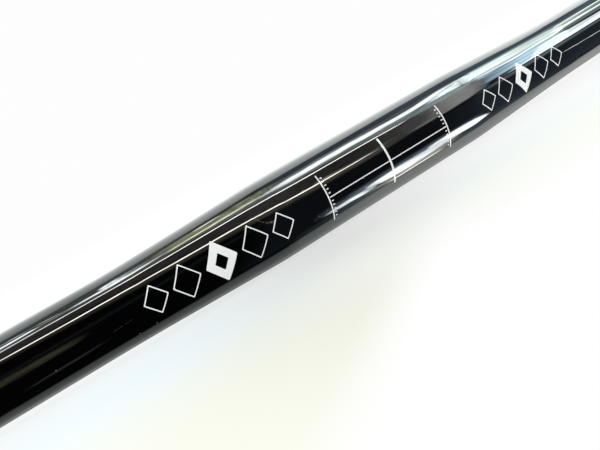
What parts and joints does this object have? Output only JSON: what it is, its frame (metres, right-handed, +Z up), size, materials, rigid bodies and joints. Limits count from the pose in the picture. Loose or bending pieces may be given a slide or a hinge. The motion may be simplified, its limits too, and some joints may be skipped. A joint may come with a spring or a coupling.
{
  "type": "flat handlebar",
  "caption": "Flat bicycle handlebar with a slight back sweep: butted, tapered tube with a printed clamp scale and an expanding screw plug in each end.",
  "frame": {"origin": "centre of the stem clamp zone, on the tube's axis", "axes": "+X along the bar, to the right as seen from its printed front face; +Y back, the way both ends sweep; +Z up"},
  "size_m": [0.5888, 0.0546, 0.0254],
  "materials": {
    "gloss_black": "aluminium tube under a high gloss black paint and clear coat",
    "white_ink": "thin white screen print, satin",
    "black_alloy": "turned and black anodised, satin",
    "nylon": "moulded dark grey nylon, matte",
    "brass": "turned brass",
    "black_steel": "black oxide alloy steel, slightly oily",
    "zinc_steel": "zinc plated washer",
    "rubber": "matte black rubber"
  },
  "bodies": {
    "bar": {"bar_tube": "gloss_black", "datum_line_print": "white_ink", "centre_ring_print": "white_ink", "left_ring_print": "white_ink", "left_ticks_print": "white_ink", "right_ring_print": "white_ink", "right_ticks_print": "white_ink", "left_pattern_print": "white_ink", "right_pattern_print": "white_ink"},
    "left_plug": {"left_plug_cap": "black_alloy", "left_o_ring": "rubber", "left_expander_sleeve": "nylon", "left_washer": "zinc_steel"},
    "left_screw": {"left_plug_screw": "black_steel"},
    "left_nut": {"left_cone_nut": "brass"},
    "right_plug": {"right_plug_cap": "black_alloy", "right_o_ring": "rubber", "right_expander_sleeve": "nylon", "right_washer": "zinc_steel"},
    "right_screw": {"right_plug_screw": "black_steel"},
    "right_nut": {"right_cone_nut": "brass"}
  },
  "joints": [
    {"name": "left_plug_slide", "type": "slide", "parent": "bar", "child": "left_plug", "axis": [-0.9903, 0.1392, 0], "range_m": [0, 0.03]},
    {"name": "left_screw_turn", "type": "hinge", "parent": "left_plug", "child": "left_screw", "pos_m": [-0.29, 0.03071, 0], "axis": [-0.9903, 0.1392, 0], "range_deg": [0, 1085]},
    {"name": "left_nut_travel", "type": "slide", "parent": "left_plug", "child": "left_nut", "axis": [0.9903, -0.1392, 0], "range_m": [0, 0.0024]},
    {"name": "right_plug_slide", "type": "slide", "parent": "bar", "child": "right_plug", "axis": [0.9903, 0.1392, 0], "range_m": [0, 0.03]},
    {"name": "right_screw_turn", "type": "hinge", "parent": "right_plug", "child": "right_screw", "pos_m": [0.29, 0.03071, 0], "axis": [0.9903, 0.1392, 0], "range_deg": [0, 1085]},
    {"name": "right_nut_travel", "type": "slide", "parent": "right_plug", "child": "right_nut", "axis": [-0.9903, -0.1392, 0], "range_m": [0, 0.0024]}
  ],
  "couplings": [
    {"joint": "left_screw_turn", "follows": "left_nut_travel", "rad_per_m": 7854},
    {"joint": "right_screw_turn", "follows": "right_nut_travel", "rad_per_m": 7854}
  ]
}
